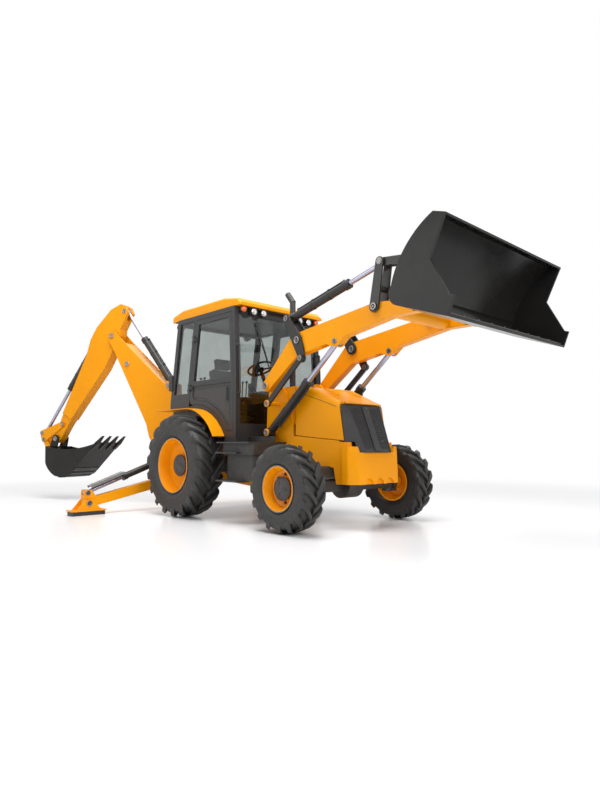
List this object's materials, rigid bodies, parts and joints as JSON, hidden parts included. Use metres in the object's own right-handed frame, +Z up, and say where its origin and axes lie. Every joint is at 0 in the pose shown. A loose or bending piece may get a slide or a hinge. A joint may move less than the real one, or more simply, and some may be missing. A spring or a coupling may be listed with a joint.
{
  "type": "backhoe loader",
  "caption": "Wheeled backhoe loader with a glazed cab, a raised front loader bucket on levelling linkages, a slewed rear digging arm and stabiliser legs set down on their pads.",
  "frame": {"origin": "on the ground under the middle of the rear axle, which is also the middle of the machine's outline seen from above in this pose", "axes": "+X forward, +Y to the machine's left, +Z up"},
  "size_m": [8.9405, 4.228, 3.503],
  "materials": {
    "body_yellow": "gloss machine paint",
    "rim_yellow": "gloss machine paint",
    "tyre": "matte rubber",
    "black_paint": "semi-gloss black paint",
    "pad_black": "worn black",
    "cab_grey": "satin dark grey",
    "chrome_rod": "hard chrome",
    "pin_steel": "plated steel",
    "engine_iron": "painted iron",
    "cab_tint": "tinted glass",
    "lamp_lens": "clear lens",
    "trim": "matte trim"
  },
  "bodies": {
    "chassis": {"main_frame": "body_yellow", "engine": "engine_iron", "axles": "black_paint", "grille": "black_paint", "nose_bumper": "body_yellow", "side_tanks": "black_paint", "cab_frame": "cab_grey", "cab_glass": "cab_tint", "cab_roof": "body_yellow", "lamps": "lamp_lens", "cab_interior": "trim", "body_panels": "body_yellow"},
    "knuckle_left": {"knuckle_left": "black_paint"},
    "knuckle_right": {"knuckle_right": "black_paint"},
    "bonnet": {"bonnet": "body_yellow"},
    "door_right": {"door_right": "cab_grey", "door_right_glass": "cab_tint"},
    "door_left": {"door_left": "cab_grey", "door_left_glass": "cab_tint"},
    "wheel_front_left": {"tyre_front_left": "tyre", "rim_front_left": "rim_yellow"},
    "wheel_front_right": {"tyre_front_right": "tyre", "rim_front_right": "rim_yellow"},
    "wheel_rear_left": {"tyre_rear_left": "tyre", "rim_rear_left": "rim_yellow"},
    "wheel_rear_right": {"tyre_rear_right": "tyre", "rim_rear_right": "rim_yellow"},
    "loader_arms": {"loader_arms": "body_yellow"},
    "bellcranks": {"bellcranks": "black_paint"},
    "tie_rods": {"tie_rods": "black_paint"},
    "rockers": {"rockers": "black_paint"},
    "rocker_pins": {"rocker_pins": "pin_steel"},
    "bucket_pins": {"bucket_pins": "pin_steel"},
    "link_pins": {"link_pins": "pin_steel"},
    "bucket_links": {"bucket_links": "black_paint"},
    "lift_barrels": {"lift_barrels": "black_paint"},
    "lift_rods": {"lift_rods": "chrome_rod"},
    "tilt_barrels": {"tilt_barrels": "black_paint"},
    "tilt_rods": {"tilt_rods": "chrome_rod"},
    "loader_bucket": {"loader_bucket": "black_paint"},
    "slew_post": {"slew_post": "body_yellow"},
    "boom": {"boom": "body_yellow"},
    "boom_barrel": {"boom_barrel": "black_paint"},
    "boom_rod": {"boom_rod": "chrome_rod"},
    "dipper": {"dipper": "body_yellow"},
    "dipper_barrel": {"dipper_barrel": "black_paint"},
    "dipper_rod": {"dipper_rod": "chrome_rod"},
    "bucket_barrel": {"bucket_barrel": "black_paint"},
    "bucket_rod": {"bucket_rod": "chrome_rod"},
    "tipping_lever": {"tipping_lever": "body_yellow"},
    "digger_link": {"digger_link": "body_yellow"},
    "digger_bucket": {"digger_bucket": "black_paint"},
    "leg_right": {"leg_right": "body_yellow"},
    "leg_left": {"leg_left": "body_yellow"},
    "pad_right": {"pad_right": "pad_black"},
    "pad_left": {"pad_left": "pad_black"},
    "leg_barrel_right": {"leg_barrel_right": "black_paint"},
    "leg_barrel_left": {"leg_barrel_left": "black_paint"},
    "leg_rod_right": {"leg_rod_right": "chrome_rod"},
    "leg_rod_left": {"leg_rod_left": "chrome_rod"}
  },
  "joints": [
    {"name": "steer", "type": "hinge", "parent": "chassis", "child": "knuckle_left", "pos_m": [2.17, 0.78, 0.495], "axis": [0, 0, 1], "range_deg": [-35, 35]},
    {"name": "steer_right", "type": "hinge", "parent": "chassis", "child": "knuckle_right", "pos_m": [2.17, -0.78, 0.495], "axis": [0, 0, 1], "range_deg": [-36, 36]},
    {"name": "spin_front_left", "type": "hinge", "parent": "knuckle_left", "child": "wheel_front_left", "pos_m": [2.17, 1, 0.495], "axis": [0, 1, 0], "continuous": true},
    {"name": "spin_front_right", "type": "hinge", "parent": "knuckle_right", "child": "wheel_front_right", "pos_m": [2.17, -1, 0.495], "axis": [0, 1, 0], "continuous": true},
    {"name": "spin_rear_left", "type": "hinge", "parent": "chassis", "child": "wheel_rear_left", "pos_m": [0, 0.965, 0.7], "axis": [0, 1, 0], "continuous": true},
    {"name": "spin_rear_right", "type": "hinge", "parent": "chassis", "child": "wheel_rear_right", "pos_m": [0, -0.965, 0.7], "axis": [0, 1, 0], "continuous": true},
    {"name": "bonnet_lift", "type": "hinge", "parent": "chassis", "child": "bonnet", "pos_m": [1.669, 0, 1.689], "axis": [0, -1, 0], "range_deg": [0, 50]},
    {"name": "door_right_swing", "type": "hinge", "parent": "chassis", "child": "door_right", "pos_m": [-0.19, -0.794, 1.52336], "axis": [-0.144, 0, -0.9896], "range_deg": [0, 80]},
    {"name": "door_left_swing", "type": "hinge", "parent": "chassis", "child": "door_left", "pos_m": [-0.19, 0.794, 1.52336], "axis": [0.144, 0, 0.9896], "range_deg": [0, 80]},
    {"name": "loader_lift", "type": "hinge", "parent": "chassis", "child": "loader_arms", "pos_m": [1.275, 0, 1.739], "axis": [0, -1, 0], "range_deg": [-51, 29]},
    {"name": "lift_barrel_turn", "type": "hinge", "parent": "chassis", "child": "lift_barrels", "pos_m": [1.3, 0, 1.14], "axis": [0, -1, 0], "range_deg": [-42.88, 25.25]},
    {"name": "lift_rod_slide", "type": "slide", "parent": "lift_barrels", "child": "lift_rods", "axis": [0.7576, 0, 0.6527], "range_m": [-0.4742, 0.2783]},
    {"name": "bellcrank_turn", "type": "hinge", "parent": "loader_arms", "child": "bellcranks", "pos_m": [1.883, 0, 2.256], "axis": [0, -1, 0], "range_deg": [-31, 53]},
    {"name": "tie_rod_turn", "type": "hinge", "parent": "chassis", "child": "tie_rods", "pos_m": [1.368, 0, 1.504], "axis": [0, -1, 0], "range_deg": [-53, 31]},
    {"name": "bucket_level", "type": "hinge", "parent": "loader_arms", "child": "bucket_pins", "pos_m": [3.64, 0, 2.395], "axis": [0, -1, 0], "range_deg": [-21.14, 35.66]},
    {"name": "bucket_tilt", "type": "hinge", "parent": "bucket_pins", "child": "loader_bucket", "pos_m": [3.64, 0, 2.395], "axis": [0, -1, 0], "range_deg": [-35, 50]},
    {"name": "rocker_level", "type": "hinge", "parent": "loader_arms", "child": "rocker_pins", "pos_m": [3.097, 0, 2.461], "axis": [0, -1, 0], "range_deg": [-21.14, 35.66]},
    {"name": "rocker_turn", "type": "hinge", "parent": "rocker_pins", "child": "rockers", "pos_m": [3.097, 0, 2.461], "axis": [0, -1, 0], "range_deg": [-37, 52]},
    {"name": "link_level", "type": "hinge", "parent": "rockers", "child": "link_pins", "pos_m": [3.176, 0, 2.943], "axis": [0, -1, 0], "range_deg": [-52, 37]},
    {"name": "link_turn", "type": "hinge", "parent": "link_pins", "child": "bucket_links", "pos_m": [3.176, 0, 2.943], "axis": [0, -1, 0], "range_deg": [-35.66, 21.14]},
    {"name": "tilt_barrel_turn", "type": "hinge", "parent": "bellcranks", "child": "tilt_barrels", "pos_m": [1.687, 0, 2.554], "axis": [0, -1, 0], "range_deg": [-44.04, 25.91]},
    {"name": "tilt_rod_slide", "type": "slide", "parent": "tilt_barrels", "child": "tilt_rods", "axis": [0.9675, 0, 0.2528], "range_m": [-0.4163, 0.2974]},
    {"name": "slew", "type": "hinge", "parent": "chassis", "child": "slew_post", "pos_m": [-1.36, 0, 0.7], "axis": [0, 0, 1], "range_deg": [-112, 68]},
    {"name": "boom_lower", "type": "hinge", "parent": "slew_post", "child": "boom", "pos_m": [-1.66597, -0.12362, 0.72], "axis": [0.3746, -0.9272, 0], "range_deg": [-28, 85]},
    {"name": "boom_barrel_turn", "type": "hinge", "parent": "slew_post", "child": "boom_barrel", "pos_m": [-1.53617, -0.07118, 1.29], "axis": [-0.3746, 0.9272, 0], "range_deg": [-88.42, 30.47]},
    {"name": "boom_rod_slide", "type": "slide", "parent": "boom_barrel", "child": "boom_rod", "axis": [-0.6353, -0.2567, 0.7284], "range_m": [-0.2536, 0.7293]},
    {"name": "dipper_reach", "type": "hinge", "parent": "boom", "child": "dipper", "pos_m": [-2.84813, -0.60124, 2.927], "axis": [-0.3746, 0.9272, 0], "range_deg": [-25, 65]},
    {"name": "dipper_barrel_turn", "type": "hinge", "parent": "boom", "child": "dipper_barrel", "pos_m": [-1.67988, -0.12924, 1.985], "axis": [-0.3746, 0.9272, 0], "range_deg": [-2.73, 3.9]},
    {"name": "dipper_rod_slide", "type": "slide", "parent": "dipper_barrel", "child": "dipper_rod", "axis": [-0.5534, -0.2236, 0.8024], "range_m": [-0.534, 0.2177]},
    {"name": "digger_dump", "type": "hinge", "parent": "dipper", "child": "digger_bucket", "pos_m": [-4.06459, -1.09273, 1.1], "axis": [-0.3746, 0.9272, 0], "range_deg": [0, 120]},
    {"name": "lever_turn", "type": "hinge", "parent": "dipper", "child": "tipping_lever", "pos_m": [-3.9385, -1.04178, 1.374], "axis": [-0.3746, 0.9272, 0], "range_deg": [-2, 73.95]},
    {"name": "digger_link_turn", "type": "hinge", "parent": "tipping_lever", "child": "digger_link", "pos_m": [-4.37984, -1.22009, 1.085], "axis": [-0.3746, 0.9272, 0], "range_deg": [-47.99, 2]},
    {"name": "bucket_barrel_turn", "type": "hinge", "parent": "dipper", "child": "bucket_barrel", "pos_m": [-3.27556, -0.77394, 2.892], "axis": [-0.3746, 0.9272, 0], "range_deg": [-2, 12.04]},
    {"name": "bucket_rod_slide", "type": "slide", "parent": "bucket_barrel", "child": "bucket_rod", "axis": [-0.549, -0.2218, -0.8059], "range_m": [-0.5856, 0.02]},
    {"name": "leg_right_lift", "type": "hinge", "parent": "chassis", "child": "leg_right", "pos_m": [-1.08, -0.45, 0.472], "axis": [-1, 0, 0], "range_deg": [-8, 76]},
    {"name": "pad_right_level", "type": "hinge", "parent": "leg_right", "child": "pad_right", "pos_m": [-1.08, -1.864, 0.166], "axis": [-1, 0, 0], "range_deg": [-17.2, 3.6]},
    {"name": "leg_barrel_right_turn", "type": "hinge", "parent": "chassis", "child": "leg_barrel_right", "pos_m": [-1.08, -0.42, 0.845], "axis": [-1, 0, 0], "range_deg": [-10.57, 83.45]},
    {"name": "leg_rod_right_slide", "type": "slide", "parent": "leg_barrel_right", "child": "leg_rod_right", "axis": [0, -0.9384, -0.3455], "range_m": [-0.4636, 0.0667]},
    {"name": "leg_left_lift", "type": "hinge", "parent": "chassis", "child": "leg_left", "pos_m": [-1.08, 0.45, 0.472], "axis": [1, 0, 0], "range_deg": [-8, 76]},
    {"name": "pad_left_level", "type": "hinge", "parent": "leg_left", "child": "pad_left", "pos_m": [-1.08, 1.864, 0.166], "axis": [1, 0, 0], "range_deg": [-17.2, 3.6]},
    {"name": "leg_barrel_left_turn", "type": "hinge", "parent": "chassis", "child": "leg_barrel_left", "pos_m": [-1.08, 0.42, 0.845], "axis": [1, 0, 0], "range_deg": [-10.57, 83.45]},
    {"name": "leg_rod_left_slide", "type": "slide", "parent": "leg_barrel_left", "child": "leg_rod_left", "axis": [0, 0.9384, -0.3455], "range_m": [-0.4636, 0.0667]}
  ],
  "couplings": [
    {"joint": "steer_right", "follows": "steer", "ratio": 1},
    {"joint": "lift_barrel_turn", "follows": "loader_lift", "ratio": 0.80158},
    {"joint": "lift_rod_slide", "follows": "loader_lift", "m_per_rad": 0.51025},
    {"joint": "bellcrank_turn", "follows": "loader_lift", "ratio": -1},
    {"joint": "tie_rod_turn", "follows": "loader_lift", "ratio": 1},
    {"joint": "bucket_level", "follows": "loader_lift", "ratio": -0.66},
    {"joint": "rocker_level", "follows": "loader_lift", "ratio": -0.66},
    {"joint": "rocker_turn", "follows": "bucket_tilt", "ratio": 1},
    {"joint": "link_level", "follows": "bucket_tilt", "ratio": -1},
    {"joint": "link_turn", "follows": "loader_lift", "ratio": 0.66},
    {"joint": "tilt_barrel_turn", "follows": "loader_lift", "ratio": 0.82435},
    {"joint": "tilt_rod_slide", "follows": "bucket_tilt", "m_per_rad": -0.45413},
    {"joint": "boom_barrel_turn", "follows": "boom_lower", "ratio": -1.0167},
    {"joint": "boom_rod_slide", "follows": "boom_lower", "m_per_rad": 0.47811},
    {"joint": "dipper_barrel_turn", "follows": "dipper_reach", "ratio": 0.029155},
    {"joint": "dipper_rod_slide", "follows": "dipper_reach", "m_per_rad": -0.45304},
    {"joint": "lever_turn", "follows": "digger_dump", "ratio": 0.5996},
    {"joint": "digger_link_turn", "follows": "digger_dump", "ratio": -0.38324},
    {"joint": "bucket_barrel_turn", "follows": "digger_dump", "ratio": 0.083701},
    {"joint": "bucket_rod_slide", "follows": "digger_dump", "m_per_rad": -0.27005},
    {"joint": "pad_right_level", "follows": "leg_right_lift", "ratio": -0.2},
    {"joint": "leg_barrel_right_turn", "follows": "leg_right_lift", "ratio": 1.0717},
    {"joint": "leg_rod_right_slide", "follows": "leg_right_lift", "m_per_rad": -0.33443},
    {"joint": "pad_left_level", "follows": "leg_left_lift", "ratio": -0.2},
    {"joint": "leg_barrel_left_turn", "follows": "leg_left_lift", "ratio": 1.0717},
    {"joint": "leg_rod_left_slide", "follows": "leg_left_lift", "m_per_rad": -0.33443}
  ]
}
